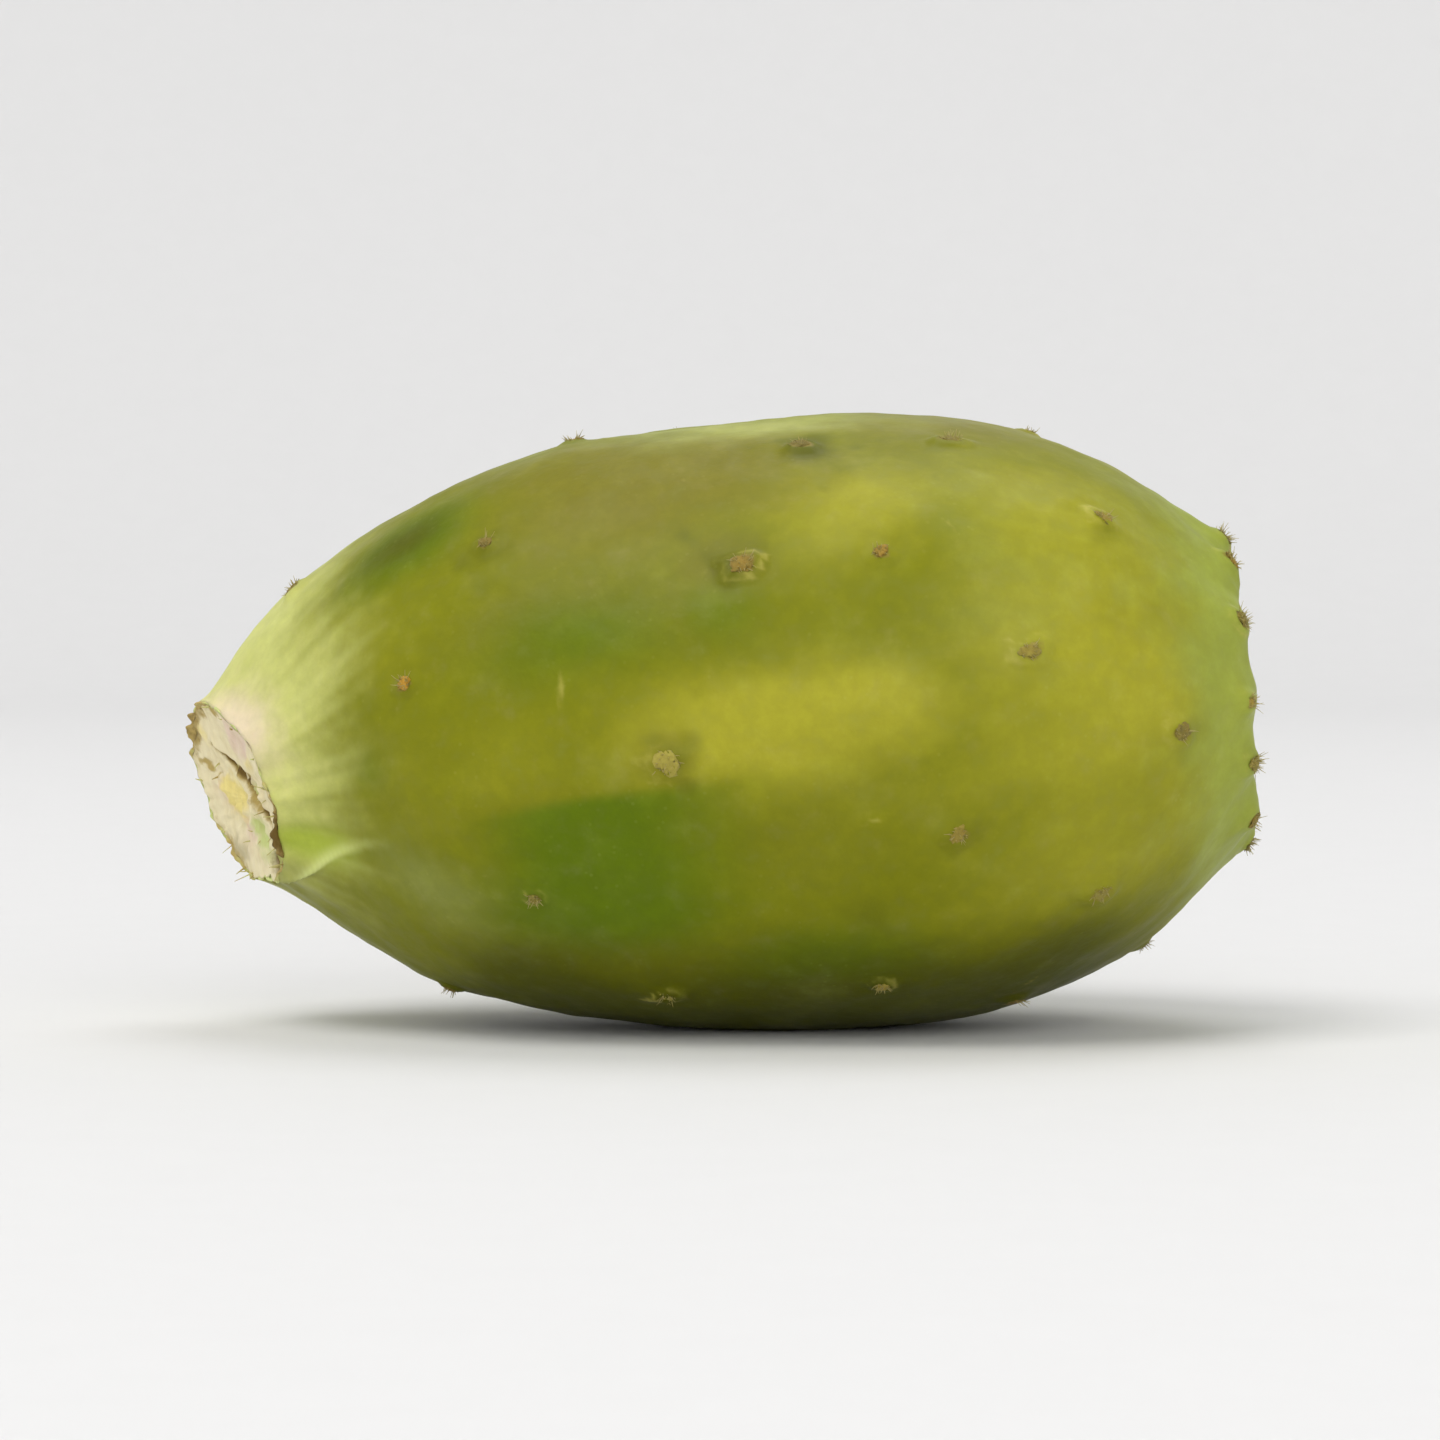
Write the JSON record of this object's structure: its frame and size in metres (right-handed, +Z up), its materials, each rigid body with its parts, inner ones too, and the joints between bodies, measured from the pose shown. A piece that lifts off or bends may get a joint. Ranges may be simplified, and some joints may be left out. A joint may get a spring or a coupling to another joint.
{
  "type": "prickly pear fruit",
  "caption": "Whole green prickly pear fruit, cleared of its spines, lying on its side, with low areole bumps, a slanted stem scar and a hollow, scalloped crown.",
  "frame": {"origin": "the middle of the small flat that the fruit rests on", "axes": "+X along the fruit from the stem scar to the crown, +Z up, and -Y is the side that the stem scar turns to"},
  "size_m": [0.0976, 0.0574, 0.056],
  "materials": {
    "skin": "waxy green skin with olive and yellow-green mottling, satin",
    "dry_scar": "dry, pale, corky and fibrous tissue, matte",
    "areole_felt": "short brown felt, matte"
  },
  "bodies": {
    "root": {"fruit": "skin"}
  },
  "joints": []
}
